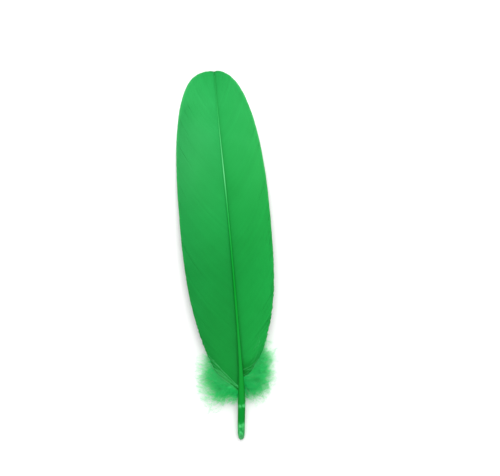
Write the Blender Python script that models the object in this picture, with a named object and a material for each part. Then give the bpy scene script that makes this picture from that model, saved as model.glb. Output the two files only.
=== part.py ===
"""A goose's wing feather, dyed green, lying on a flat surface with its upper side up.

Units are metres and +Z is up. +Y runs along the feather from the quill's end to its tip, and +X is to
the right of the shaft. The origin is under the middle of the feather, on the surface that it lies on.

The feather is one growth: a bare quill that goes on as the shaft, a vane of barbs on each side and
downy tufts at the vanes' foot. Each is modelled as a closed solid, and a union makes them one.
Below, "along" is the distance from the quill's end, and "out" the distance from the shaft.
"""

import math
from collections import namedtuple

import bmesh
import bpy
import numpy as np
from mathutils import Vector

MM = 0.001

LENGTH = 175 * MM
SHAFT_END = 172.6 * MM
ARCH_HEIGHT = 7 * MM
ARCH_FLATTENING = 6
# Seen from above, the shaft bends away from the line between its ends and comes back towards the tip.
SHAFT_BOW = 2.34 * MM
QUILL_BEND = 19 * MM
QUILL_BEND_POWER = 1.6
BOW_FADE_POWERS = (4, 2.5)

# The shaft's half width and half depth, at distances from the quill's end.
Station = namedtuple("Station", "along half_width half_depth")
SHAFT_STATIONS = [
    Station(0 * MM, 0.50 * MM, 0.50 * MM),
    Station(0.35 * MM, 0.90 * MM, 0.88 * MM),
    Station(1 * MM, 1.25 * MM, 1.20 * MM),
    Station(2.4 * MM, 1.56 * MM, 1.46 * MM),
    Station(4 * MM, 1.68 * MM, 1.56 * MM),
    Station(9 * MM, 1.74 * MM, 1.60 * MM),
    Station(18 * MM, 1.78 * MM, 1.62 * MM),
    Station(25 * MM, 1.62 * MM, 1.56 * MM),
    Station(30 * MM, 1.32 * MM, 1.48 * MM),
    Station(36 * MM, 1.04 * MM, 1.40 * MM),
    Station(44 * MM, 0.82 * MM, 1.28 * MM),
    Station(54 * MM, 0.66 * MM, 1.12 * MM),
    Station(75 * MM, 0.50 * MM, 0.88 * MM),
    Station(113 * MM, 0.34 * MM, 0.58 * MM),
    Station(146 * MM, 0.22 * MM, 0.38 * MM),
    Station(SHAFT_END, 0.14 * MM, 0.24 * MM),
]
SHAFT_RINGS = 38
# Above 1, the rings stand closer together towards the quill's rounded end.
SHAFT_RING_POWER = 1.7
SHAFT_SIDES = 12

# A vane's margin is one curved formula below its widest place and another above it.
Vane = namedtuple(
    "Vane",
    "name side half_width widest_at foot_at first_barb foot_powers tip_powers "
    "angle foot_angle droop",
)
LEFT_VANE = Vane(
    name="left",
    side=-1,
    half_width=21.5 * MM,
    widest_at=115 * MM,
    foot_at=20 * MM,
    first_barb=22.8 * MM,
    foot_powers=(2.84, 1.33),
    tip_powers=(2.3, 3.2),
    angle=math.radians(35),
    foot_angle=math.radians(47),
    droop=2.7 * MM,
)
RIGHT_VANE = Vane(
    name="right",
    side=1,
    half_width=21.5 * MM,
    widest_at=90 * MM,
    foot_at=26 * MM,
    first_barb=29.5 * MM,
    foot_powers=(2.5, 1.39),
    tip_powers=(2.65, 2.27),
    angle=math.radians(31),
    foot_angle=math.radians(60),
    droop=3.1 * MM,
)
VANES = [LEFT_VANE, RIGHT_VANE]

LAST_BARB = 171.5 * MM
LAST_BARB_ANGLE = math.radians(9)
FOOT_FADE = 14 * MM
FAN_START = 105 * MM
FAN_POWER = 4
BARB_BOW = 0.06
NOTCH_DEPTH = 0.5 * MM
NOTCH_WIDTH = 1.2 * MM
NOTCH_POWER = 8

# The barbs of each vane hang together in locks, each with a ridge along its middle.
LOCKS = 36
LOCK_STATIONS = [0, 0.1, 0.3, 0.52, 0.74, 0.92, 1]
RIDGE_HEIGHT = 0.2 * MM
ROOT_THICKNESS = 0.5 * MM
EDGE_THICKNESS = 0.24 * MM
ROOT_OVERLAP = 0.35
ATTACHMENT = 0.3
EDGE_GAP = 0.35 * MM
FOOT_GAP = 0.7 * MM
# Places along each margin where the locks have parted, counted in locks from the foot, and how deep.
PARTINGS = {"left": {22: 1.2 * MM, 26: 2.2 * MM, 28: 1.5 * MM}, "right": {3: 1.8 * MM, 6: 1.2 * MM}}

# The downy tufts fan out from the shaft at and just above the vanes' foot. Each pair of roots, angles
# and lengths belongs to a fan's lowest and highest tuft.
Down = namedtuple("Down", "side roots angles lengths")
LEFT_DOWN = Down(-1, (23 * MM, 34 * MM), (math.radians(116), math.radians(60)), (15 * MM, 21 * MM))
RIGHT_DOWN = Down(1, (27 * MM, 38 * MM), (math.radians(134), math.radians(60)), (13 * MM, 19 * MM))
DOWNS = [LEFT_DOWN, RIGHT_DOWN]
TUFTS = 14
TUFT_RINGS = 7
TUFT_SIDES = 5
TUFT_RADIUS = 1.1 * MM
TUFT_TIP_RADIUS = 0.22 * MM
TUFT_FULL_START = 0.25
TUFT_FULL_POWER = 0.8
# Chance gives each tuft its place between its neighbours, its share of the full length, and its bend.
TUFT_PLACES = (0.2, 0.8)
TUFT_SHARES = (0.85, 1)
TUFT_BENDS = (math.radians(-10), math.radians(26))
TUFT_CLEARANCE = 0.5 * MM
TUFT_LIFT = 1.9 * MM
SEED = 7

GREEN = (0.03, 0.43, 0.11, 1)
GREEN_ROUGHNESS = 0.6


def clear_scene():
    for old in list(bpy.data.objects):
        bpy.data.objects.remove(old, do_unlink=True)


def dyed_feather():
    """The one material: dyed keratin, a satin green."""
    material = bpy.data.materials.new("dyed feather")
    material.use_nodes = True
    shader = material.node_tree.nodes["Principled BSDF"]
    shader.inputs["Base Color"].default_value = GREEN
    shader.inputs["Roughness"].default_value = GREEN_ROUGHNESS
    shader.inputs["Metallic"].default_value = 0
    return material


def shaft_side(along):
    """How far the shaft's middle is to the right of the line between its ends."""
    bend = 1 - math.exp(-((along / QUILL_BEND) ** QUILL_BEND_POWER))
    inner, outer = BOW_FADE_POWERS
    return SHAFT_BOW * bend * (1 - min(along / LENGTH, 1) ** inner) ** outer


def shaft_underside(along):
    """Height of the shaft's underside: an arch that ends flat on the surface at the tip."""
    part = min(along / LENGTH, 1)
    return ARCH_HEIGHT * math.sin(math.pi * part) * (1 - part**ARCH_FLATTENING)


def shaft_size(along):
    """The shaft's half width and half depth."""
    stations = np.array(SHAFT_STATIONS)
    width = np.interp(along, stations[:, 0], stations[:, 1])
    depth = np.interp(along, stations[:, 0], stations[:, 2])
    return float(width), float(depth)


def shaft_middle(along):
    """Height of the shaft's middle."""
    return shaft_underside(along) + shaft_size(along)[1]


def solid(name, rings):
    """A closed solid through rings of points, with a face over each end."""
    shape = bmesh.new()
    rows = [[shape.verts.new(point) for point in ring] for ring in rings]
    count = len(rows[0])
    for row, following in zip(rows, rows[1:]):
        for index in range(count):
            after = (index + 1) % count
            shape.faces.new((row[index], row[after], following[after], following[index]))
    shape.faces.new(rows[0][::-1])
    shape.faces.new(rows[-1])
    bmesh.ops.triangulate(shape, faces=shape.faces[:])
    bmesh.ops.recalc_face_normals(shape, faces=shape.faces[:])
    mesh = bpy.data.meshes.new(name)
    shape.to_mesh(mesh)
    shape.free()
    piece = bpy.data.objects.new(name, mesh)
    bpy.context.scene.collection.objects.link(piece)
    return piece


def shaft():
    """The quill and the shaft above it: one tapering rod, round at the quill and oval above."""
    rings = []
    for index in range(SHAFT_RINGS + 1):
        along = SHAFT_END * (index / SHAFT_RINGS) ** SHAFT_RING_POWER
        half_width, half_depth = shaft_size(along)
        ring = []
        for corner in range(SHAFT_SIDES):
            turn = 2 * math.pi * corner / SHAFT_SIDES
            x = shaft_side(along) + half_width * math.cos(turn)
            z = shaft_middle(along) + half_depth * math.sin(turn)
            ring.append((x, along, z))
        rings.append(ring)
    return solid("feather", rings)


def margin(vane, along):
    """How far the vane's margin is from the line between the shaft's ends."""
    if along < vane.widest_at:
        part = (vane.widest_at - along) / (vane.widest_at - vane.foot_at)
        inner, outer = vane.foot_powers
    else:
        part = (along - vane.widest_at) / (LENGTH - vane.widest_at)
        inner, outer = vane.tip_powers
    return vane.half_width * (1 - min(part, 1) ** inner) ** (1 / outer)


def foot_share(vane, root):
    """How much a barb is one of the vane's foot: 1 at its first barb, fading out above."""
    return math.exp((vane.first_barb - root) / FOOT_FADE)


def barb_angle(vane, root):
    """Angle between the shaft and the straight line from a barb's root to its end."""
    foot = foot_share(vane, root)
    tip = max(0, (root - FAN_START) / (LAST_BARB - FAN_START)) ** FAN_POWER
    angle = vane.angle + (vane.foot_angle - vane.angle) * foot
    return angle + (LAST_BARB_ANGLE - angle) * tip


def barb_length(vane, root):
    """Length of the straight line from a barb's root to the margin, found by halving."""
    angle = barb_angle(vane, root)
    inside, outside = 0, LENGTH
    while outside - inside > 0.001 * MM:
        middle = (inside + outside) / 2
        across = vane.side * shaft_side(root) + middle * math.sin(angle)
        if across < margin(vane, root + middle * math.cos(angle)):
            inside = middle
        else:
            outside = middle
    return inside


def barb_point(vane, root, shortening, part):
    """A point of the barb that starts at root, at a part of its length, as (x, along)."""
    angle = barb_angle(vane, root)
    length = barb_length(vane, root) - shortening
    straighter = min(1, math.tan(angle) / math.tan(vane.angle)) * (1 - foot_share(vane, root))
    bow = BARB_BOW * length * straighter * 4 * part * (1 - part)
    out = part * length * math.sin(angle) + bow * math.cos(angle)
    along = root + part * length * math.cos(angle) - bow * math.sin(angle)
    x = shaft_side(root) + vane.side * out
    if part == 0:
        x -= vane.side * ROOT_OVERLAP * shaft_size(root)[0]
    notch = NOTCH_DEPTH * math.exp(-((x / NOTCH_WIDTH) ** 2)) * (root / LENGTH) ** NOTCH_POWER
    along -= notch * part
    return x, along


def vane_height(vane, x, along):
    """Height of the vane's middle surface: it droops away from the shaft."""
    part = (x - shaft_side(along)) / vane.half_width
    root = shaft_middle(along) + ATTACHMENT * shaft_size(along)[1]
    return root - vane.droop * part**2


def lock_ring(vane, root, shortening, ridge):
    """The ring of points round a lock's middle or border: along its top and back under it."""
    top = []
    bottom = []
    # At its root the sheet is thinner than the shaft that it grows from.
    root_thickness = min(ROOT_THICKNESS, shaft_size(root)[1])
    for part in LOCK_STATIONS:
        x, along = barb_point(vane, root, shortening, part)
        thickness = root_thickness + (EDGE_THICKNESS - root_thickness) * part
        low = max(vane_height(vane, x, along) - thickness / 2, 0)
        rise = ridge if part > 0 else 0
        bottom.append((x, along, low))
        top.append((x, along, low + thickness + rise))
    return top + bottom[::-1]


def vane_solid(vane):
    """One vane: a thin sheet that runs along its barbs, in locks with parted ends."""
    rings = []
    spacing = (LAST_BARB - vane.first_barb) / LOCKS
    for border in range(LOCKS + 1):
        root = vane.first_barb + border * spacing
        gap = EDGE_GAP + FOOT_GAP * foot_share(vane, root)
        gap = max(gap, PARTINGS[vane.name].get(border, 0))
        rings.append(lock_ring(vane, root, gap if border else 0, 0))
        if border < LOCKS:
            rings.append(lock_ring(vane, root + spacing / 2, 0, RIDGE_HEIGHT))
    return solid("vane " + vane.name, rings)


def between(pair, part):
    return pair[0] + (pair[1] - pair[0]) * part


def tuft_path(down, part_up, share, bend, drop):
    """Points along one tuft, from inside the shaft to its tip, as (x, along, z)."""
    root = between(down.roots, part_up)
    length = between(down.lengths, part_up) * share
    heading = between(down.angles, part_up) + bend / 2
    start_height = shaft_middle(root)
    x, along = shaft_side(root), root
    points = []
    for index in range(TUFT_RINGS + 1):
        part = index / TUFT_RINGS
        height = start_height + (drop - start_height) * math.sin(math.pi / 2 * part)
        points.append((x, along, height))
        turned = heading - bend * part
        x += down.side * length / TUFT_RINGS * math.sin(turned)
        along += length / TUFT_RINGS * math.cos(turned)
    return points


def tuft_solid(name, path):
    """A soft lock of down along a path: fullest a third of the way out, thin at its tip."""
    rings = []
    for index, (x, along, z) in enumerate(path):
        part = index / TUFT_RINGS
        before = path[max(index - 1, 0)]
        after = path[min(index + 1, TUFT_RINGS)]
        heading = math.atan2(after[1] - before[1], after[0] - before[0])
        swell = math.pi * (TUFT_FULL_START + (1 - TUFT_FULL_START) * part)
        fullness = max(math.sin(swell), 0) ** TUFT_FULL_POWER
        radius = TUFT_TIP_RADIUS + (TUFT_RADIUS - TUFT_TIP_RADIUS) * fullness
        ring = []
        for corner in range(TUFT_SIDES):
            turn = 2 * math.pi * corner / TUFT_SIDES
            aside = radius * math.cos(turn)
            up = radius * math.sin(turn)
            ring.append((x - aside * math.sin(heading), along + aside * math.cos(heading), z + up))
        rings.append(ring)
    return solid(name, rings)


def tufts():
    """Both fans of downy tufts."""
    rng = np.random.default_rng(SEED)
    pieces = []
    for down in DOWNS:
        for index in range(TUFTS):
            part_up = (index + rng.uniform(*TUFT_PLACES)) / TUFTS
            share = rng.uniform(*TUFT_SHARES)
            bend = rng.uniform(*TUFT_BENDS)
            drop = TUFT_CLEARANCE + TUFT_RADIUS + TUFT_LIFT * rng.uniform(0, 1)
            path = tuft_path(down, part_up, share, bend, drop)
            pieces.append(tuft_solid("tuft", path))
    return pieces


def centre_on_origin(pieces):
    """Moves all the pieces so that the middle of their common box is over the origin, on the surface."""
    points = [vertex.co for piece in pieces for vertex in piece.data.vertices]
    lowest = [min(point[axis] for point in points) for axis in range(3)]
    highest = [max(point[axis] for point in points) for axis in range(3)]
    move = (-(lowest[0] + highest[0]) / 2, -(lowest[1] + highest[1]) / 2, -lowest[2])
    for piece in pieces:
        for vertex in piece.data.vertices:
            vertex.co += Vector(move)


def fuse(feather, others):
    """Joins the other solids to the first in one union, and hides them as helpers."""
    helpers = bpy.data.collections.new("fused into the feather")
    bpy.context.scene.collection.children.link(helpers)
    for piece in others:
        bpy.context.scene.collection.objects.unlink(piece)
        helpers.objects.link(piece)
        piece.hide_render = True
        piece.display_type = "WIRE"
    union = feather.modifiers.new("grown together", "BOOLEAN")
    union.operation = "UNION"
    union.solver = "EXACT"
    union.operand_type = "COLLECTION"
    union.collection = helpers


def main():
    clear_scene()
    feather = shaft()
    others = [vane_solid(vane) for vane in VANES] + tufts()
    centre_on_origin([feather] + others)
    fuse(feather, others)
    feather.data.materials.append(dyed_feather())


main()
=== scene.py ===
"""The looks of a goose's wing feather, dyed green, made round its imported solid.

Units are metres and +Z is up. +Y runs from the quill's end to the tip, and +X is to the right of the
shaft. The shaft, the barbs of both vanes and the down are all meshes, made strand by strand.
Below, "along" is the distance from the quill's end, "across" the distance to the right of the line
between the shaft's ends, and "part" goes from 0 at a strand's root to 1 at its end.
"""

import math
from collections import namedtuple

import bpy
import numpy as np
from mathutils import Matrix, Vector


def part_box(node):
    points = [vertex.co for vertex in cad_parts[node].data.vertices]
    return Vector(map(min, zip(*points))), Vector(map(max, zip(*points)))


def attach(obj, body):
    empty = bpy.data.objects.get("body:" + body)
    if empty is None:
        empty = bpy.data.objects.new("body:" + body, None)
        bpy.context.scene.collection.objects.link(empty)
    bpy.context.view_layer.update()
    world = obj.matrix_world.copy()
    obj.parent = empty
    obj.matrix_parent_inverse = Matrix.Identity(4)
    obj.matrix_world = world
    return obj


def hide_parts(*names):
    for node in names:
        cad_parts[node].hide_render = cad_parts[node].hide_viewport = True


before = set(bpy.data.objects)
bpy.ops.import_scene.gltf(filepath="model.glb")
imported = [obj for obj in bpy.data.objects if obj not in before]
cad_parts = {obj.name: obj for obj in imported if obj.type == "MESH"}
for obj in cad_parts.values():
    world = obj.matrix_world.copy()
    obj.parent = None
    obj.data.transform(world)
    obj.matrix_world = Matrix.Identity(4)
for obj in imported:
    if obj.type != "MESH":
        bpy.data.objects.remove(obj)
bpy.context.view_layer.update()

MM = 0.001
CAD_LOW, CAD_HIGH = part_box("feather")

LENGTH = 175 * MM
SHAFT_END = 172.6 * MM
ARCH_HEIGHT = 7 * MM
ARCH_FLATTENING = 6
# Seen from above, the shaft bends away from the line between its ends and comes back towards the tip.
SHAFT_BOW = 2.34 * MM
QUILL_BEND = 19 * MM
QUILL_BEND_POWER = 1.6
BOW_FADE_POWERS = (4, 2.5)
# The solid's box is centred on the origin, so this is where the quill's end and the middle line are.
QUILL_END_Y = CAD_LOW.y
MIDDLE_X = (CAD_LOW.x + CAD_HIGH.x) / 2

# The shaft's half width and half depth, at distances from the quill's end.
Station = namedtuple("Station", "along half_width half_depth")
SHAFT_STATIONS = np.array([
    Station(0 * MM, 0.50 * MM, 0.50 * MM),
    Station(0.35 * MM, 0.90 * MM, 0.88 * MM),
    Station(1 * MM, 1.25 * MM, 1.20 * MM),
    Station(2.4 * MM, 1.56 * MM, 1.46 * MM),
    Station(4 * MM, 1.68 * MM, 1.56 * MM),
    Station(9 * MM, 1.74 * MM, 1.60 * MM),
    Station(18 * MM, 1.78 * MM, 1.62 * MM),
    Station(25 * MM, 1.62 * MM, 1.56 * MM),
    Station(30 * MM, 1.32 * MM, 1.48 * MM),
    Station(36 * MM, 1.04 * MM, 1.40 * MM),
    Station(44 * MM, 0.82 * MM, 1.28 * MM),
    Station(54 * MM, 0.66 * MM, 1.12 * MM),
    Station(75 * MM, 0.50 * MM, 0.88 * MM),
    Station(113 * MM, 0.34 * MM, 0.58 * MM),
    Station(146 * MM, 0.22 * MM, 0.38 * MM),
    Station(SHAFT_END, 0.14 * MM, 0.24 * MM),
])
# The numbers of rings along the shaft and of sides round it. Rings are closest at the quill's end.
SHAFT_RINGS = 220
SHAFT_RING_POWER = 1.6
SHAFT_SIDES = 36
# Above the quill the shaft turns from a round rod into a rounded box with a groove along its underside.
BOX_START = 24 * MM
BOX_LENGTH = 20 * MM
BOX_POWER = 0.3
GROOVE_DEPTH = 0.45
GROOVE_WIDTH = 0.4
# The small hole in the quill's end, through which the growing feather was fed.
HOLE_RADIUS = 0.34 * MM
HOLE_DEPTH = 0.6 * MM
HOLE_RISE = 0.35 * MM

# A vane's margin is one curved formula below its widest place and another above it.
# frayed is how far the barbs of its foot fall short of that margin, at the most.
Vane = namedtuple(
    "Vane",
    "name side half_width widest_at foot_at first_barb foot_powers tip_powers "
    "angle foot_angle droop frayed partings",
)
# Neighbouring barbs have come unhooked at a parting: those above it lie higher, or a slit opens there.
Parting = namedtuple("Parting", "root half_opening lift reach")
LEFT_VANE = Vane(
    name="vane_left",
    side=-1,
    half_width=21.5 * MM,
    widest_at=115 * MM,
    foot_at=20 * MM,
    first_barb=22.8 * MM,
    foot_powers=(2.84, 1.33),
    tip_powers=(2.3, 3.2),
    angle=math.radians(35),
    foot_angle=math.radians(47),
    droop=2.7 * MM,
    frayed=1.4 * MM,
    partings=[
        Parting(38 * MM, 0.10 * MM, 0.10 * MM, 3 * MM),
        Parting(63 * MM, 0, 0.18 * MM, 4 * MM),
        Parting(91 * MM, 0, 0.14 * MM, 5 * MM),
        Parting(112 * MM, 0, 0.20 * MM, 4 * MM),
        Parting(126 * MM, 0, 0.22 * MM, 3 * MM),
        Parting(134 * MM, 0, 0.24 * MM, 3 * MM),
        Parting(139 * MM, 0, 0.20 * MM, 3 * MM),
    ],
)
RIGHT_VANE = Vane(
    name="vane_right",
    side=1,
    half_width=21.5 * MM,
    widest_at=90 * MM,
    foot_at=26 * MM,
    first_barb=29.5 * MM,
    foot_powers=(2.5, 1.39),
    tip_powers=(2.65, 2.27),
    angle=math.radians(31),
    foot_angle=math.radians(60),
    droop=3.1 * MM,
    frayed=2.4 * MM,
    partings=[
        Parting(35 * MM, 0.20 * MM, 0.16 * MM, 2 * MM),
        Parting(41 * MM, 0.16 * MM, 0.16 * MM, 3 * MM),
        Parting(48 * MM, 0.06 * MM, 0.18 * MM, 4 * MM),
        Parting(70 * MM, 0, 0.16 * MM, 5 * MM),
        Parting(92 * MM, 0, 0.20 * MM, 4 * MM),
        Parting(121 * MM, 0, 0.16 * MM, 4 * MM),
    ],
)
VANES = [LEFT_VANE, RIGHT_VANE]

# Both vanes end at the last barb's root. Above its foot a vane's barbs soon have its own angle, and from
# the fan's start they turn until the last one runs along the shaft.
LAST_BARB = 171.5 * MM
LAST_BARB_ANGLE = 0
FOOT_FADE = 14 * MM
FAN_START = 105 * MM
FAN_POWER = 4
# How far a barb bows out, as a share of its length.
BARB_BOW = 0.06
# The small notch in the tip, where the two vanes meet.
NOTCH_DEPTH = 0.5 * MM
NOTCH_WIDTH = 1.2 * MM
NOTCH_POWER = 8
# How far above the shaft's middle the vanes grow, as a share of its half depth.
ATTACHMENT = 0.3

BARBS = 430
BARB_RINGS = 26
# A barb's half width, as a share of the distance between barbs. Its edge towards the tip lies this much
# higher than its middle line and its other edge this much lower, so that neighbours lap.
BARB_OVERLAP = 0.8
BARB_LAP = 0.012 * MM
# How far a barb rises above its middle line and goes down below it, at its root and at its end.
BARB_RIDGE = (0.05 * MM, 0.025 * MM)
BARB_KEEL = (0.10 * MM, 0.04 * MM)
# A barb's end tapers over this length, but over no more than this share of the barb.
BARB_TAPER = 0.5 * MM
MOST_TAPER = 0.5
BARB_END_WIDTH = 0.35
# Partings open from this part of the barbs outwards.
PARTING_START = 0.45
PARTING_POWER = 1.5
FLOOR_CLEARANCE = 0.02 * MM
# Barbs' lengths are found to within this distance.
LENGTH_TOLERANCE = 0.001 * MM

# How unevenly barbs are set, end and lie: each by itself, and in waves that neighbours share. A wave is
# given as its size and the number of its bends along the vane.
ROOT_UNEVEN = 0.15
END_UNEVEN = 0.05 * MM
END_WAVES = (0.08 * MM, 60)
HEIGHT_UNEVEN = 0.008 * MM
HEIGHT_WAVES = (0.05 * MM, 70)
TONE_UNEVEN = 0.18
TONE_WAVES = (0.32, 90)
# A barb ends short of the margin by no more than this share of its length.
MOST_SHORTENING = 0.2
# A few barbs have come unhooked at their ends, which rise and lean a little.
STRAY_SHARE = 0.05
STRAY_START = 0.82
STRAY_RISE = 0.25 * MM
STRAY_LEAN = 0.12 * MM

# A kind of strand, of down or of loose barbs. The heights of its ends and its bends in radians are
# chosen between the least and the most. shortest is the shortest strand's share of its spray's reach,
# and barbules is the number of fine threads on each strand.
Strand = namedtuple("Strand", "shortest end_heights radius bends wave barbules barbule_length")
FIRM_DOWN = Strand(
    shortest=0.3,
    end_heights=(0.8 * MM, 5.6 * MM),
    radius=0.022 * MM,
    bends=(-0.6, 1.0),
    wave=1.6,
    barbules=105,
    barbule_length=2.6 * MM,
)
SOFT_DOWN = Strand(
    shortest=0.45,
    end_heights=(0.4 * MM, 5.2 * MM),
    radius=0.014 * MM,
    bends=(-0.8, 1.2),
    wave=2.0,
    barbules=100,
    barbule_length=2.9 * MM,
)
WISP = Strand(
    shortest=0.3,
    end_heights=(0.3 * MM, 4 * MM),
    radius=0.012 * MM,
    bends=(-0.6, 0.8),
    wave=1.8,
    barbules=100,
    barbule_length=2.4 * MM,
)
STRAIGHT_BARB = Strand(
    shortest=0.5,
    end_heights=(5.4 * MM, 6.6 * MM),
    radius=0.06 * MM,
    bends=(-0.4, 0.5),
    wave=0.15,
    barbules=150,
    barbule_length=0.6 * MM,
)
BENT_BARB = STRAIGHT_BARB._replace(bends=(0.5, 1.1), wave=0.2, radius=0.05 * MM)

# Strands that fan out from one side of the shaft. Pairs of roots, angles in degrees and reaches go from
# the lowest strand to the highest. spread is how far off its angle a strand may be, in degrees.
Spray = namedtuple("Spray", "name side count strand roots angles spread reach")
DOWN = [
    Spray("down_left", -1, 260, FIRM_DOWN, (26 * MM, 33 * MM), (93, 56), 22, (16 * MM, 19 * MM)),
    Spray("down_left_soft", -1, 375, SOFT_DOWN, (25.6 * MM, 35 * MM), (99, 54), 24, (22 * MM, 22 * MM)),
    Spray("down_left_wisps", -1, 110, WISP, (23.6 * MM, 26 * MM), (140, 92), 22, (7 * MM, 19 * MM)),
    Spray("down_right", 1, 210, FIRM_DOWN, (30.2 * MM, 38 * MM), (112, 58), 22, (13 * MM, 15 * MM)),
    Spray("down_right_soft", 1, 310, SOFT_DOWN, (29.8 * MM, 40 * MM), (120, 54), 24, (17 * MM, 18.5 * MM)),
    Spray("down_right_wisps", 1, 130, WISP, (28 * MM, 31 * MM), (168, 116), 20, (14 * MM, 17.5 * MM)),
]
# Barbs that have come away from the vanes' feet lie on them.
LOOSE_BARBS = [
    Spray("loose_barbs_left", -1, 20, STRAIGHT_BARB, (23 * MM, 26 * MM), (53, 42), 7, (20 * MM, 27 * MM)),
    Spray("loose_barbs_right", 1, 30, BENT_BARB, (28.6 * MM, 38 * MM), (78, 28), 12, (8 * MM, 18 * MM)),
]
# A strand starts inside the shaft, at these shares of the shaft's half width and half depth.
STRAND_START_SIDE = 0.6
STRAND_START_RISE = 0.5
STRAND_RINGS = 11
STRAND_SIDES = 4
STRAND_END_WIDTH = 0.3
# A strand's wave turns by this many radians along it, and is at least this share of its kind's wave.
WAVE_TURN = 5
LEAST_WAVE = 0.2
# Down stays this far under the vane that covers it.
COVER_CLEARANCE = 0.1 * MM

# The fine threads round a strand lean away from it by these angles, and rise less than they spread.
BARBULE_RADIUS = 0.017 * MM
BARBULE_SIDES = 3
BARBULE_LEANS = (0.45, 1.5)
BARBULE_RISE = 0.8
# Where a strand's threads start, and how much closer together they are towards its end.
FIRST_BARBULE = 0.03
BARBULE_CROWDING = 0.75
# The shortest thread's share of the full length, and how much shorter all are at the strand's end.
SHORTEST_BARBULE = 0.4
BARBULE_SHORTENING = 0.3

SEED = 11
# Keep a direction from having no length: the least length, and a push aside for an upright line.
TINY = 1e-12
NUDGE = 1e-9


def linear(red, green, blue):
    """A colour given as screen values from 0 to 255, as linear light with full alpha."""
    def channel(value):
        part = value / 255
        return part / 12.92 if part <= 0.04045 else ((part + 0.055) / 1.055) ** 2.4
    return channel(red), channel(green), channel(blue), 1


def grey(value):
    return value, value, value, 1


# Colours at parts of the feather's length, from the quill's end: one dye with painted light and shade,
# lighter towards the tip and on the right vane, darker towards the foot, with a painted shade at the right
# vane's foot beside the shaft.
VANE_DYE_AND_LIGHT = {
    "vane_left": [
        (0.15, linear(16, 152, 57)),
        (0.45, linear(14, 148, 59)),
        (0.60, linear(26, 161, 70)),
        (0.72, linear(40, 170, 81)),
        (0.82, linear(48, 177, 90)),
        (0.98, linear(44, 183, 90)),
    ],
    "vane_right": [
        (0.160, linear(18, 162, 62)),
        (0.180, linear(0, 134, 40)),
        (0.196, linear(0, 142, 44)),
        (0.225, linear(20, 165, 65)),
        (0.45, linear(16, 156, 61)),
        (0.60, linear(24, 164, 67)),
        (0.72, linear(36, 175, 78)),
        (0.82, linear(44, 183, 87)),
        (0.98, linear(44, 185, 90)),
    ],
}
# Painted shade and light across each vane: the colour is darker beside the shaft and paler out to the
# margin.
VANE_LIGHT_ACROSS = {
    "vane_left": [(0, (0.80, 0.99, 0.94, 1)), (0.5, (1.0, 1.01, 1.0, 1)), (1, (1.12, 0.97, 1.04, 1))],
    "vane_right": [(0, (0.75, 0.93, 0.88, 1)), (0.5, (1.0, 1.0, 1.0, 1)), (1, (1.25, 1.09, 1.11, 1))],
}
# How much the colour differs from barb to barb, and in broad faint blotches.
BARB_SHADES = [(0, grey(0.87)), (1, grey(0.94))]
BLOTCHES_PER_METRE = 65
BLOTCH_SHADES = [(0.35, (0.88, 0.96, 0.93, 1)), (0.65, (1.12, 1.03, 1.06, 1))]
# Painted shade: how dark the vanes are in a hair's width beside the shaft, and in the millimetres beyond.
SHADE_ALONG = [0.13, 0.18, 0.26, 0.5, 0.62, 0.82, 0.9, 1]
CLOSE_SHADE = {
    "vane_left": [0.6, 0.45, 0.25, 0.16, 0.08, 0.04, 0.10, 0.30],
    "vane_right": [0.6, 0.6, 0.35, 0.12, 0.25, 0.30, 0.20, 0.30],
}
BROAD_SHADE = {
    "vane_left": [0.2, 0.2, 0.18, 0.12, 0.05, 0.02, 0.05, 0.14],
    "vane_right": [0.16, 0.16, 0.16, 0.14, 0.12, 0.12, 0.10, 0.14],
}
CLOSE_SHADE_WIDTH = 0.35 * MM
BROAD_SHADE_WIDTH = 1.8 * MM
PAINTED_SHADE_COLOUR = linear(0, 70, 10)
# Painted light: the vanes' margins are thin and painted paler, as if lit through, most of all round the
# tip.
RIM_WIDTH = 0.35 * MM
RIM_ALONG = [0.3, 0.7, 0.92]
RIM_LIGHT_STRENGTH = [0.06, 0.16, 0.55]
RIM_LIGHT_COLOUR = linear(104, 226, 140)

# The shaft is deep green at its foot, pale above the middle with a painted highlight, and green again at
# the tip.
SHAFT_DYE_AND_HIGHLIGHT = [
    (0.00, linear(76, 164, 100)),
    (0.02, linear(40, 152, 76)),
    (0.04, linear(14, 152, 58)),
    (0.056, linear(0, 138, 42)),
    (0.082, linear(0, 140, 44)),
    (0.10, linear(8, 146, 46)),
    (0.14, linear(12, 146, 46)),
    (0.24, linear(15, 148, 50)),
    (0.36, linear(6, 148, 42)),
    (0.42, linear(0, 144, 38)),
    (0.50, linear(8, 150, 48)),
    (0.57, linear(22, 160, 58)),
    (0.63, linear(34, 168, 72)),
    (0.67, linear(60, 186, 96)),
    (0.72, linear(98, 210, 130)),
    (0.79, linear(80, 198, 114)),
    (0.87, linear(52, 186, 92)),
    (0.93, linear(34, 168, 76)),
]
# How much of the quill is painted pale, partly mottled dye and partly painted highlight, at parts of the
# feather's length.
QUILL_PALE_DYE_AND_HIGHLIGHT = [
    (0.000, grey(0.6)),
    (0.020, grey(0.66)),
    (0.032, grey(0.85)),
    (0.040, grey(0.85)),
    (0.050, grey(0.45)),
    (0.056, grey(0)),
    (0.080, grey(0)),
    (0.087, grey(0.9)),
    (0.098, grey(0.75)),
    (0.105, grey(0)),
]
PALE_DYE_AND_HIGHLIGHT_COLOUR = linear(80, 204, 116)
# Noise spots are mixed with those values, and where the mix is high in the stops below the quill is
# painted pale: mottled dye and painted highlight.
SPOTS_PER_METRE = 560
SPOTS_STRETCH = (1.6, 0.8, 1.6)
SPOTS_SHIFT = (0.4, 0, 0)
SPOT_STOPS = [(0.36, grey(0)), (0.64, grey(1))]
PALE_DYE_AND_HIGHLIGHT_SHARE = 0.5
PALE_DYE_AND_HIGHLIGHT_STOPS = [(0.5, grey(0)), (0.86, grey(1))]
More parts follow.
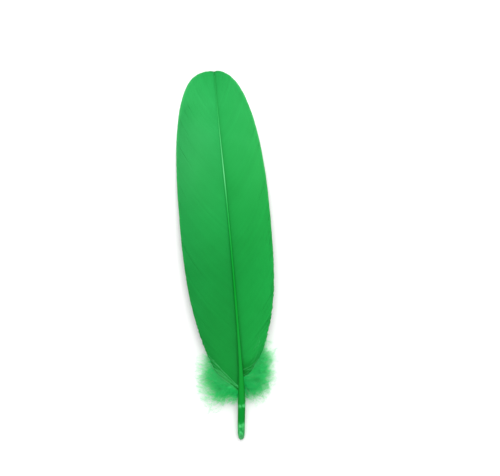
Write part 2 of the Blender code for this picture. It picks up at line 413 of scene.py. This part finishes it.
# Shallow scratches along the shaft.
SCRATCHES_PER_METRE = 3000
SCRATCHES_STRETCH = (1, 0.1, 1)
SCRATCHES_STRENGTH = 0.25
SCRATCHES_DEPTH = 0.05 * MM
# Painted shade: the quill is darker down its sides.
PAINTED_SIDE_SHADE = 0.34
SIDE_SHADE_START = 0.35
SIDE_SHADE_END = 62 * MM
SIDE_SHADE_FADE = 15 * MM

# Single threads of down are pale. A thick tangle looks deeper, as light meets one after another.
DOWN_COLOURS = [
    (0.0, linear(40, 255, 126)),
    (0.25, linear(58, 255, 138)),
    (1.0, linear(92, 255, 156)),
]
DOWN_SHADES = [(0, grey(0.92)), (1, grey(1))]
LOOSE_BARB_COLOURS = [
    (0.0, linear(56, 200, 98)),
    (1.0, linear(112, 240, 152)),
]

Gloss = namedtuple("Gloss", "roughness specular")
VANE_GLOSS = Gloss(0.6, 0.12)
QUILL_GLOSS = Gloss(0.4, 0.08)
DOWN_GLOSS = Gloss(0.8, 0.05)
LOOSE_BARB_GLOSS = Gloss(0.7, 0.1)
FLOOR_GLOSS = Gloss(0.9, 0.1)
NOISE_DETAIL = 3

FLOOR_SIZE = 3
FLOOR_COLOUR = grey(0.96)
SURROUNDING_LIGHT = 0.75
LAMP_SIZE = 1
LAMP_POWER = 7.6
LAMP_PLACE = (0.14, 0.52, 0.75)

# The photograph's width in pixels, and its scale at the height of the feather's middle.
PICTURE_WIDTH = 500
PIXELS_TO_MM = 2.12
SCALE_HEIGHT = 2 * MM
LENS = 85
SENSOR_WIDTH = 36
CAMERA_PLACE = (11.05 * MM, 7.3 * MM)
CAMERA_TURN = math.radians(-4.23)


def shaft_side(along):
    """How far the shaft's middle is to the right of the line between its ends."""
    part = np.clip(along / LENGTH, 0, 1)
    above_quill = 1 - np.exp(-((np.clip(along, 0, LENGTH) / QUILL_BEND) ** QUILL_BEND_POWER))
    return SHAFT_BOW * above_quill * (1 - part ** BOW_FADE_POWERS[0]) ** BOW_FADE_POWERS[1]


def shaft_underside(along):
    """Height of the shaft's underside: an arch that ends flat on the surface at the tip."""
    part = np.clip(along / LENGTH, 0, 1)
    return ARCH_HEIGHT * np.sin(math.pi * part) * (1 - part**ARCH_FLATTENING)


def shaft_half_width(along):
    return np.interp(along, SHAFT_STATIONS[:, 0], SHAFT_STATIONS[:, 1])


def shaft_half_depth(along):
    return np.interp(along, SHAFT_STATIONS[:, 0], SHAFT_STATIONS[:, 2])


def shaft_middle(along):
    """Height of the shaft's middle."""
    return shaft_underside(along) + shaft_half_depth(along)


def place(across, along, height):
    """Points of the feather's own measures, in the frame."""
    return np.stack([MIDDLE_X + across, QUILL_END_Y + along, height], axis=-1)


def between(pair, part):
    return pair[0] + (pair[1] - pair[0]) * part


def unit(vectors):
    return vectors / np.maximum(np.linalg.norm(vectors, axis=-1, keepdims=True), TINY)


# The raw parts of a mesh: corners, the corner numbers of its faces, their sizes, uvs and corner values.
Group = namedtuple("Group", "points loops sizes uvs values")


def tube_faces(tubes, rings, sides):
    """Corner numbers of the faces of closed tubes: quads round them, and one face over each end."""
    tube, ring, side = np.meshgrid(
        np.arange(tubes), np.arange(rings - 1), np.arange(sides), indexing="ij"
    )
    after = (side + 1) % sides
    start = (tube * rings + ring) * sides
    quads = np.stack([start + side, start + after, start + sides + after, start + sides + side], axis=-1)
    first = np.arange(tubes)[:, None] * rings * sides + np.arange(sides)[None, ::-1]
    last = np.arange(tubes)[:, None] * rings * sides + (rings - 1) * sides + np.arange(sides)[None, :]
    return quads.reshape(-1, 4), np.concatenate([first, last])


def tube_uvs(tubes, rings, sides):
    """A place on the bake map for each face corner: every tube has its own upright strip."""
    tube, ring, side = np.meshgrid(
        np.arange(tubes), np.arange(rings - 1), np.arange(sides), indexing="ij"
    )
    left = (tube + side / sides) / tubes
    right = (tube + (side + 1) / sides) / tubes
    low = ring / (rings - 1)
    high = (ring + 1) / (rings - 1)
    pairs = ((left, low), (right, low), (right, high), (left, high))
    corners = [np.stack(pair, axis=-1) for pair in pairs]
    around = np.stack(corners, axis=-2).reshape(-1, 2)
    ends = []
    for height in (0, 1):
        spot = np.stack([(np.arange(tubes) + 0.5) / tubes, np.full(tubes, float(height))], axis=-1)
        ends.append(np.repeat(spot, sides, axis=0))
    return np.concatenate([around] + ends)


def tube_group(rings, values):
    """Corners, faces and values of closed tubes, from rings of points (tubes, rings, sides, 3).

    A value is given for each ring, as (tubes, rings), or for each point, as (tubes, rings, sides).
    """
    tubes, count, sides, _ = rings.shape
    quads, ends = tube_faces(tubes, count, sides)
    spread = {}
    for key, value in values.items():
        each = value if value.ndim == 3 else value[..., None]
        spread[key] = np.broadcast_to(each, (tubes, count, sides)).reshape(-1)
    return Group(
        rings.reshape(-1, 3),
        np.concatenate([quads.reshape(-1), ends.reshape(-1)]),
        np.concatenate([np.full(len(quads), 4), np.full(len(ends), sides)]),
        tube_uvs(tubes, count, sides),
        spread,
    )


def spike_group(corners, values):
    """The same for spikes of shape (spikes, 4, 3): three corners at the foot, and the point."""
    count = len(corners)
    faces = np.array([[0, 2, 1], [0, 1, 3], [1, 2, 3], [2, 0, 3]])
    loops = (4 * np.arange(count)[:, None, None] + faces[None]).reshape(-1)
    across = (np.arange(count) + 0.5) / count
    height = np.broadcast_to((faces == 3).reshape(-1).astype(float), (count, faces.size)).reshape(-1)
    uvs = np.stack([np.repeat(across, faces.size), height], axis=-1)
    spread = {key: np.repeat(value, 4) for key, value in values.items()}
    return Group(corners.reshape(-1, 3), loops, np.full(4 * count, 3), uvs, spread)


def mesh_piece(name, groups, material):
    """One object made of groups of closed tubes and spikes."""
    offsets = np.cumsum([0] + [len(group.points) for group in groups])
    points = np.concatenate([group.points for group in groups]).astype(np.float32)
    loops = np.concatenate([group.loops + offset for group, offset in zip(groups, offsets)])
    sizes = np.concatenate([group.sizes for group in groups]).astype(np.int32)
    share = 1 / len(groups)
    uvs = [group.uvs * (share, 1) + (index * share, 0) for index, group in enumerate(groups)]
    mesh = bpy.data.meshes.new(name)
    mesh.vertices.add(len(points))
    mesh.vertices.foreach_set("co", points.reshape(-1))
    mesh.loops.add(len(loops))
    mesh.loops.foreach_set("vertex_index", loops.astype(np.int32))
    mesh.polygons.add(len(sizes))
    starts = np.concatenate([[0], np.cumsum(sizes)[:-1]]).astype(np.int32)
    mesh.polygons.foreach_set("loop_start", starts)
    mesh.update(calc_edges=True)
    mesh.polygons.foreach_set("use_smooth", np.ones(len(sizes), bool))
    layer = mesh.uv_layers.new(name="OFBake")
    layer.data.foreach_set("uv", np.concatenate(uvs).astype(np.float32).reshape(-1))
    for key in groups[0].values:
        attribute = mesh.attributes.new(key, "FLOAT", "POINT")
        value = np.concatenate([group.values[key] for group in groups])
        attribute.data.foreach_set("value", value.astype(np.float32))
    mesh.materials.append(material)
    mesh.validate()
    piece = bpy.data.objects.new(name, mesh)
    bpy.context.scene.collection.objects.link(piece)
    return piece


def around_line(ahead, sides):
    """Directions that point away from lines, evenly round them: one more axis, of that many sides."""
    aside = unit(np.cross(ahead, np.array([0, 0, 1.0])) + NUDGE)
    upward = np.cross(aside, ahead)
    turn = 2 * math.pi * np.arange(sides) / sides
    return aside[..., None, :] * np.cos(turn)[:, None] + upward[..., None, :] * np.sin(turn)[:, None]


def round_rings(paths, radii, sides):
    """Rings of points round paths of shape (tubes, rings, 3), for radii of shape (tubes, rings)."""
    ahead = unit(np.gradient(paths, axis=1))
    return paths[:, :, None, :] + around_line(ahead, sides) * radii[:, :, None, None]


def margin(vane, along):
    """How far the vane's margin is from the line between the shaft's ends."""
    below = np.clip((vane.widest_at - along) / (vane.widest_at - vane.foot_at), 0, 1)
    above = np.clip((along - vane.widest_at) / (LENGTH - vane.widest_at), 0, 1)
    foot = (1 - below ** vane.foot_powers[0]) ** (1 / vane.foot_powers[1])
    tip = (1 - above ** vane.tip_powers[0]) ** (1 / vane.tip_powers[1])
    return vane.half_width * foot * tip


def foot_share(vane, root):
    """How much a barb is one of the vane's foot: 1 at its first barb, fading out above."""
    return np.exp((vane.first_barb - root) / FOOT_FADE)


def barb_angle(vane, root):
    """Angle between the shaft and the straight line from a barb's root to its end."""
    tip = np.clip((root - FAN_START) / (LAST_BARB - FAN_START), 0, None) ** FAN_POWER
    angle = vane.angle + (vane.foot_angle - vane.angle) * foot_share(vane, root)
    return angle + (LAST_BARB_ANGLE - angle) * tip


def barb_length(vane, root):
    """Length of the straight line from each barb's root to the margin, found by halving."""
    angle = barb_angle(vane, root)
    inside = np.zeros_like(root)
    outside = np.full_like(root, LENGTH)
    while (outside - inside).max() > LENGTH_TOLERANCE:
        middle = (inside + outside) / 2
        across = vane.side * shaft_side(root) + middle * np.sin(angle)
        within = across < margin(vane, root + middle * np.cos(angle))
        inside = np.where(within, middle, inside)
        outside = np.where(within, outside, middle)
    return inside


def barb_lines(vane, root, length, part):
    """Points (across, along) of barbs, each at its parts of its length: shape (barbs, rings)."""
    root = root[:, None]
    angle = barb_angle(vane, root)
    straight = part * length[:, None]
    softer = np.minimum(1, np.tan(angle) / math.tan(vane.angle)) * (1 - foot_share(vane, root))
    bow = BARB_BOW * length[:, None] * softer * 4 * part * (1 - part)
    out = straight * np.sin(angle) + bow * np.cos(angle)
    along = root + straight * np.cos(angle) - bow * np.sin(angle)
    across = shaft_side(root) + vane.side * out
    notch = NOTCH_DEPTH * np.exp(-((across / NOTCH_WIDTH) ** 2)) * (root / LENGTH) ** NOTCH_POWER
    return across, along - notch * part


def barb_parts(length):
    """Where a barb's rings are: evenly spaced up to its tapering end, and one at its end."""
    even = np.linspace(0, 1, BARB_RINGS - 1)[None, :]
    body = 1 - np.minimum(BARB_TAPER / length, MOST_TAPER)[:, None]
    return np.concatenate([even * body, np.ones((len(length), 1))], axis=1)


def vane_height(vane, across, along):
    """Height of the vane's middle surface: it droops away from the shaft."""
    part = (across - shaft_side(along)) / vane.half_width
    root = shaft_middle(along) + ATTACHMENT * shaft_half_depth(along)
    return root - vane.droop * part**2


def smooth_noise(rng, count, knots):
    """A wavering value from -1 to 1 for each of a row of things, with about that many bends."""
    values = rng.uniform(-1, 1, knots + 3)
    place_in_row = np.linspace(0.5, knots + 1.5, count)
    low = np.floor(place_in_row).astype(int)
    part = place_in_row - low
    part = part * part * (3 - 2 * part)
    return values[low] * (1 - part) + values[low + 1] * part


def uneven(rng, each, waves):
    """A chance value for each barb, partly its own and partly shared with its neighbours."""
    shared, knots = waves
    return each * rng.uniform(-1, 1, BARBS) + shared * smooth_noise(rng, BARBS, knots)


def part_barbs(vane, root, along, height, part):
    """Opens the vane's partings like a narrow V, or lifts the barbs above them."""
    outer = np.clip((part - PARTING_START) / (1 - PARTING_START), 0, 1) ** PARTING_POWER
    for parting in vane.partings:
        away = root - parting.root
        fade = np.exp(-np.abs(away) / parting.reach)
        push = np.sign(away) * parting.half_opening * fade
        lift = np.where(away > 0, parting.lift * fade, 0)
        along = along + push[:, None] * outer
        height = height + lift[:, None] * outer
    return along, height


def painted_shade_by_shaft(vane, across, along):
    """How much painted shade darkens the barbs close to the shaft."""
    outside = np.maximum(np.abs(across - shaft_side(along)) - shaft_half_width(along), 0)
    part = along / LENGTH
    close = np.interp(part, SHADE_ALONG, CLOSE_SHADE[vane.name])
    broad = np.interp(part, SHADE_ALONG, BROAD_SHADE[vane.name])
    return close * np.exp(-outside / CLOSE_SHADE_WIDTH) + broad * np.exp(-outside / BROAD_SHADE_WIDTH)


def rim_light(vane, across, along):
    """How much painted light makes the barbs paler close to the margin."""
    inside = np.maximum(margin(vane, along) - vane.side * across, 0)
    return np.interp(along / LENGTH, RIM_ALONG, RIM_LIGHT_STRENGTH) * np.exp(-inside / RIM_WIDTH)


def lift_strays(along, height, part, rng):
    """Makes the ends of a few barbs rise and lean."""
    stray = rng.uniform(0, 1, BARBS) < STRAY_SHARE
    lean = STRAY_LEAN * rng.uniform(-1, 1, BARBS)
    free_end = (stray[:, None] * np.clip((part - STRAY_START) / (1 - STRAY_START), 0, 1)) ** 2
    return along + lean[:, None] * free_end, height + STRAY_RISE * free_end


def vane_rings(vane, rng):
    """The barbs of one vane: each a thin blade with a ridge on top, lapping the next one."""
    spacing = (LAST_BARB - vane.first_barb) / BARBS
    step = np.arange(BARBS) + 0.5 + ROOT_UNEVEN * rng.uniform(-1, 1, BARBS)
    root = vane.first_barb + spacing * step
    length = barb_length(vane, root)
    short = uneven(rng, END_UNEVEN, END_WAVES)
    short = short + vane.frayed * foot_share(vane, root) * rng.uniform(0, 1, BARBS)
    length = length - np.minimum(short, MOST_SHORTENING * length)
    part = barb_parts(length)
    across, along = barb_lines(vane, root, length, part)
    after_across, after_along = barb_lines(vane, root + spacing, length, part)
    narrowing = np.where(part < 1, 1, BARB_END_WIDTH)
    step_across = (after_across - across) * BARB_OVERLAP * narrowing
    step_along = (after_along - along) * BARB_OVERLAP * narrowing
    wave = uneven(rng, HEIGHT_UNEVEN, HEIGHT_WAVES)[:, None] * part
    height = vane_height(vane, across, along) + wave
    along, height = part_barbs(vane, root, along, height, part)
    along, height = lift_strays(along, height, part, rng)
    height = np.maximum(height, FLOOR_CLEARANCE + BARB_KEEL[0])
    ridge = between(BARB_RIDGE, part) * narrowing
    keel = between(BARB_KEEL, part) * narrowing
    rings = np.stack([
        place(across - step_across, along - step_along, height - BARB_LAP),
        place(across, along, height - keel),
        place(across + step_across, along + step_along, height + BARB_LAP),
        place(across, along, height + ridge),
    ], axis=2)
    if vane.side < 0:
        rings = rings[:, :, ::-1]
    tone = 0.5 + uneven(rng, TONE_UNEVEN, TONE_WAVES)
    values = {
        "tone": np.broadcast_to(tone[:, None], across.shape),
        "along": along / LENGTH,
        "out": np.abs(across - shaft_side(along)) / vane.half_width,
        # Painted shade beside the shaft.
        "painted_shade": painted_shade_by_shaft(vane, across, along),
        # Painted light at the margin.
        "rim_light": rim_light(vane, across, along),
    }
    return rings, values


def shaft_rings():
    """The quill and the shaft above it, as one tube that begins inside the hole in the quill's end."""
    along = SHAFT_END * np.linspace(0, 1, SHAFT_RINGS) ** SHAFT_RING_POWER
    half_width = shaft_half_width(along)
    half_depth = shaft_half_depth(along)
    middle = shaft_middle(along)
    turn = 2 * math.pi * np.arange(SHAFT_SIDES) / SHAFT_SIDES
    boxed = np.clip((along - BOX_START) / BOX_LENGTH, 0, 1)[:, None]
    power = 1 - BOX_POWER * boxed
    sideways = np.sign(np.cos(turn)) * np.abs(np.cos(turn)) ** power
    upward = np.sign(np.sin(turn)) * np.abs(np.sin(turn)) ** power
    groove = GROOVE_DEPTH * boxed * np.exp(-((sideways / GROOVE_WIDTH) ** 2)) * (upward < 0)
    across = shaft_side(along)[:, None] + half_width[:, None] * sideways
    height = middle[:, None] + half_depth[:, None] * upward * (1 - groove)
    body = place(across, np.broadcast_to(along[:, None], across.shape), height)
    hole = []
    for depth, rise in ((HOLE_DEPTH, HOLE_RISE), (0, 0)):
        ring_across = shaft_side(0.0) + HOLE_RADIUS * np.cos(turn)
        ring_height = middle[0] + rise + HOLE_RADIUS * np.sin(turn)
        hole.append(place(ring_across, np.full(SHAFT_SIDES, depth), ring_height))
    points = np.concatenate([np.stack(hole), body])[None]
    all_along = np.concatenate([[0, 0], along])
    # Painted shade down the quill's sides.
    reach = np.clip((SIDE_SHADE_END - all_along) / SIDE_SHADE_FADE, 0, 1)[:, None]
    side = np.clip((np.abs(np.cos(turn)) - SIDE_SHADE_START) / (1 - SIDE_SHADE_START), 0, 1)
    values = {"along": (all_along / LENGTH)[None, :], "painted_shade": (PAINTED_SIDE_SHADE * reach * side)[None]}
    return points, values


def spray_paths(spray, rng):
    """Middle lines of a spray's strands: (strands, rings, 3)."""
    strand = spray.strand
    count = spray.count
    part_up = (np.arange(count) + rng.uniform(0, 1, count)) / count
    root = between(spray.roots, part_up)
    length = between(spray.reach, part_up) * rng.uniform(strand.shortest, 1, count)
    heading = np.radians(between(spray.angles, part_up) + spray.spread * rng.uniform(-1, 1, count))
    bend = rng.uniform(*strand.bends, count)
    end_height = rng.uniform(*strand.end_heights, count)
    rise = STRAND_START_RISE * shaft_half_depth(root) * rng.uniform(-1, 1, count)
    start_height = shaft_middle(root) + rise
    across = shaft_side(root) + spray.side * STRAND_START_SIDE * shaft_half_width(root)
    along = root.copy()
    wave_start = rng.uniform(0, 2 * math.pi, count)
    wave_size = strand.wave * rng.uniform(LEAST_WAVE, 1, count)
    steps = STRAND_RINGS - 1
    points = []
    for index in range(STRAND_RINGS):
        part = index / steps
        height = start_height + (end_height - start_height) * math.sin(math.pi / 2 * part)
        points.append(place(across, along, height))
        wave = wave_size * part * np.sin(wave_start + WAVE_TURN * part)
        turned = heading + bend * (0.5 - part) + wave
        across = across + spray.side * length / steps * np.sin(turned)
        along = along + length / steps * np.cos(turned)
    return np.stack(points, axis=1)


def under_vane(side, points):
    """The same points, pressed down where the vane on that side covers them."""
    vane = LEFT_VANE if side < 0 else RIGHT_VANE
    across = points[..., 0] - MIDDLE_X
    along = points[..., 1] - QUILL_END_Y
    covered = side * across < margin(vane, along)
    cover = vane_height(vane, across, along) - BARB_KEEL[0] - COVER_CLEARANCE
    height = np.where(covered, np.minimum(points[..., 2], cover), points[..., 2])
    return np.stack([points[..., 0], points[..., 1], height], axis=-1)


def barbules(strand, paths, rng):
    """Threads off every side of strands, as spikes (spikes, 4, 3), and the part that each grows at."""
    count, rings, _ = paths.shape
    many = (count, strand.barbules)
    where = rng.uniform(FIRST_BARBULE, 1, many) ** BARBULE_CROWDING
    at = where * (rings - 1)
    low = np.minimum(at.astype(int), rings - 2)
    part = (at - low)[..., None]
    row = np.arange(count)[:, None]
    start = paths[row, low] * (1 - part) + paths[row, low + 1] * part
    ahead = unit(paths[row, low + 1] - paths[row, low])
    up = np.array([0, 0, 1.0])
    aside = unit(np.cross(ahead, up))
    turn = rng.uniform(0, 2 * math.pi, many)[..., None]
    outward = aside * np.cos(turn) + BARBULE_RISE * up * np.sin(turn)
    lean = rng.uniform(*BARBULE_LEANS, many)[..., None]
    direction = unit(ahead * np.cos(lean) + outward * np.sin(lean))
    length = strand.barbule_length * rng.uniform(SHORTEST_BARBULE, 1, many)
    length = length * (1 - BARBULE_SHORTENING * where**2)
    end = start + direction * length[..., None]
    end[..., 2] = np.maximum(end[..., 2], FLOOR_CLEARANCE)
    start = start.reshape(-1, 3)
    end = end.reshape(-1, 3)
    foot = start[:, None] + BARBULE_RADIUS * around_line(unit(end - start), BARBULE_SIDES)
    return np.concatenate([foot, end[:, None]], axis=1), where.reshape(-1)


def new_material(name, gloss):
    """A material and its shader, without a colour as yet."""
    material = bpy.data.materials.new(name)
    material.use_nodes = True
    shader = material.node_tree.nodes["Principled BSDF"]
    shader.inputs["Roughness"].default_value = gloss.roughness
    shader.inputs["Specular IOR Level"].default_value = gloss.specular
    return material, shader


def value_of(material, name):
    """The output of a mesh attribute that the strands carry."""
    node = material.node_tree.nodes.new("ShaderNodeAttribute")
    node.attribute_name = name
    return node.outputs["Fac"]


def noise(material, scale, stretch=(1, 1, 1), shift=(0, 0, 0)):
    """Noise fixed to the feather, of so many waves to a metre."""
    nodes = material.node_tree.nodes
    links = material.node_tree.links
    position = nodes.new("ShaderNodeTexCoord")
    mapping = nodes.new("ShaderNodeMapping")
    mapping.inputs["Scale"].default_value = stretch
    mapping.inputs["Location"].default_value = shift
    texture = nodes.new("ShaderNodeTexNoise")
    texture.inputs["Scale"].default_value = scale
    texture.inputs["Detail"].default_value = NOISE_DETAIL
    links.new(position.outputs["Object"], mapping.inputs["Vector"])
    links.new(mapping.outputs["Vector"], texture.inputs["Vector"])
    return texture.outputs["Fac"]


def ramp(material, source, stops):
    """A colour ramp of (position, colour) stops."""
    node = material.node_tree.nodes.new("ShaderNodeValToRGB")
    elements = node.color_ramp.elements
    while len(elements) < len(stops):
        elements.new(0.5)
    for element, (position, colour) in zip(elements, stops):
        element.position = position
        element.color = colour
    material.node_tree.links.new(source, node.inputs["Fac"])
    return node.outputs["Color"]


def mix(material, factor, first, second, blend="MIX"):
    """Mixes two colours, each a socket or a plain colour."""
    node = material.node_tree.nodes.new("ShaderNodeMix")
    node.data_type = "RGBA"
    node.blend_type = blend
    # A mix node has sockets for numbers and vectors too, so its colour sockets are picked by place.
    for socket, given in ((node.inputs[0], factor), (node.inputs[6], first), (node.inputs[7], second)):
        if isinstance(given, bpy.types.NodeSocket):
            material.node_tree.links.new(given, socket)
        else:
            socket.default_value = given
    return node.outputs[2]


def vane_material(vane):
    """Dyed barbs, unevenly toned, with painted light making them lighter towards the tip and margin, and
    painted shade making them darker beside the shaft.
    """
    material, shader = new_material(vane.name, VANE_GLOSS)
    # The dye, with painted light and shade along the feather.
    colour = ramp(material, value_of(material, "along"), VANE_DYE_AND_LIGHT[vane.name])
    layers = [
        (value_of(material, "tone"), BARB_SHADES),
        # Painted shade beside the shaft and painted light towards the margin.
        (value_of(material, "out"), VANE_LIGHT_ACROSS[vane.name]),
        (noise(material, BLOTCHES_PER_METRE), BLOTCH_SHADES),
    ]
    for source, stops in layers:
        colour = mix(material, 1.0, colour, ramp(material, source, stops), "MULTIPLY")
    # Painted shade beside the shaft and in the crease at the tip.
    colour = mix(material, value_of(material, "painted_shade"), colour, PAINTED_SHADE_COLOUR)
    # Painted light: paler margins, as if lit through.
    colour = mix(material, value_of(material, "rim_light"), colour, RIM_LIGHT_COLOUR)
    material.node_tree.links.new(colour, shader.inputs["Base Color"])
    return material


def shaft_material():
    """The quill has pale patches, partly mottled dye and partly painted highlight, and the shaft above it
    goes from deep green to a pale painted highlight.
    """
    material, shader = new_material("quill", QUILL_GLOSS)
    # The shaft's dye along its length, with a painted highlight above the middle.
    colour = ramp(material, value_of(material, "along"), SHAFT_DYE_AND_HIGHLIGHT)
    spots = noise(material, SPOTS_PER_METRE, SPOTS_STRETCH, SPOTS_SHIFT)
    patches = ramp(material, spots, SPOT_STOPS)
    # Pale patches on the quill: mottled dye and painted highlight.
    pale_dye_and_highlight = ramp(material, value_of(material, "along"), QUILL_PALE_DYE_AND_HIGHLIGHT)
    amount = ramp(material, mix(material, PALE_DYE_AND_HIGHLIGHT_SHARE, patches, pale_dye_and_highlight), PALE_DYE_AND_HIGHLIGHT_STOPS)
    colour = mix(material, amount, colour, PALE_DYE_AND_HIGHLIGHT_COLOUR)
    # Painted shade down the quill's sides, and beside the shaft on the vanes.
    colour = mix(material, value_of(material, "painted_shade"), colour, PAINTED_SHADE_COLOUR)
    material.node_tree.links.new(colour, shader.inputs["Base Color"])
    bump = material.node_tree.nodes.new("ShaderNodeBump")
    bump.inputs["Strength"].default_value = SCRATCHES_STRENGTH
    bump.inputs["Distance"].default_value = SCRATCHES_DEPTH
    scratches = noise(material, SCRATCHES_PER_METRE, SCRATCHES_STRETCH)
    material.node_tree.links.new(scratches, bump.inputs["Height"])
    material.node_tree.links.new(bump.outputs["Normal"], shader.inputs["Normal"])
    return material


def down_material():
    """Soft threads, deep green near the shaft and pale at their ends."""
    material, shader = new_material("dyed down", DOWN_GLOSS)
    colour = ramp(material, value_of(material, "part"), DOWN_COLOURS)
    tone = ramp(material, value_of(material, "tone"), DOWN_SHADES)
    colour = mix(material, 1.0, colour, tone, "MULTIPLY")
    material.node_tree.links.new(colour, shader.inputs["Base Color"])
    return material


def loose_barb_material():
    """Bare barbs, paler than the vane that they lie on."""
    material, shader = new_material("loose barbs", LOOSE_BARB_GLOSS)
    tone = ramp(material, value_of(material, "tone"), LOOSE_BARB_COLOURS)
    material.node_tree.links.new(tone, shader.inputs["Base Color"])
    return material


def dress(piece):
    """The piece moves with the feather's one body and stands for its solid."""
    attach(piece, "root")
    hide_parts("feather")


def make_vane(vane, rng):
    """One vane, as one piece made of its separate barbs."""
    rings, values = vane_rings(vane, rng)
    dress(mesh_piece(vane.name, [tube_group(rings, values)], vane_material(vane)))


def make_shaft():
    """The quill and the shaft, as one piece."""
    rings, values = shaft_rings()
    dress(mesh_piece("shaft", [tube_group(rings, values)], shaft_material()))


def make_spray(spray, material, covered, rng):
    """A spray of strands and the threads on them, as one piece, kept under the vane if it is covered."""
    paths = spray_paths(spray, rng)
    if covered:
        paths = under_vane(spray.side, paths)
    threads, where = barbules(spray.strand, paths, rng)
    if covered:
        threads = under_vane(spray.side, threads)
    part = np.broadcast_to(np.linspace(0, 1, STRAND_RINGS), (spray.count, STRAND_RINGS))
    radii = spray.strand.radius * between((1, STRAND_END_WIDTH), part)
    tone = rng.uniform(0, 1, spray.count)
    strand_values = {"tone": np.broadcast_to(tone[:, None], part.shape), "part": part}
    thread_values = {"tone": np.repeat(tone, spray.strand.barbules), "part": where}
    groups = [
        tube_group(round_rings(paths, radii, STRAND_SIDES), strand_values),
        spike_group(threads, thread_values),
    ]
    dress(mesh_piece(spray.name, groups, material))


def make_feather():
    rng = np.random.default_rng(SEED)
    for vane in VANES:
        make_vane(vane, rng)
    make_shaft()
    down = down_material()
    for spray in DOWN:
        make_spray(spray, down, True, rng)
    loose = loose_barb_material()
    for spray in LOOSE_BARBS:
        make_spray(spray, loose, False, rng)


def make_floor():
    """A white surface under the feather."""
    bpy.ops.mesh.primitive_plane_add(size=FLOOR_SIZE, location=(0, 0, 0))
    floor = bpy.context.object
    floor.name = "floor"
    material, shader = new_material("white paper", FLOOR_GLOSS)
    shader.inputs["Base Color"].default_value = FLOOR_COLOUR
    floor.data.materials.append(material)


def make_light():
    """White all round, and a soft lamp beyond the tip."""
    world = bpy.data.worlds.new("studio")
    world.use_nodes = True
    background = world.node_tree.nodes["Background"]
    background.inputs["Color"].default_value = (1, 1, 1, 1)
    background.inputs["Strength"].default_value = SURROUNDING_LIGHT
    bpy.context.scene.world = world
    light = bpy.data.lights.new("key", "AREA")
    light.shape = "SQUARE"
    light.size = LAMP_SIZE
    light.energy = LAMP_POWER
    lamp = bpy.data.objects.new("key", light)
    lamp.location = LAMP_PLACE
    lamp.rotation_euler = (-Vector(lamp.location)).to_track_quat("-Z", "Y").to_euler()
    bpy.context.scene.collection.objects.link(lamp)
    bpy.context.scene.view_settings.view_transform = "Standard"


def make_camera():
    """Straight down, turned so that the feather leans to the left as it does in the photograph."""
    lens = bpy.data.cameras.new("camera")
    lens.lens = LENS
    lens.sensor_width = SENSOR_WIDTH
    camera = bpy.data.objects.new("camera", lens)
    bpy.context.scene.collection.objects.link(camera)
    view_width = PICTURE_WIDTH / PIXELS_TO_MM * MM
    distance = view_width * LENS / SENSOR_WIDTH
    camera.location = (*CAMERA_PLACE, SCALE_HEIGHT + distance)
    camera.rotation_euler = (0, 0, CAMERA_TURN)
    bpy.context.scene.camera = camera


make_feather()
make_floor()
make_light()
make_camera()
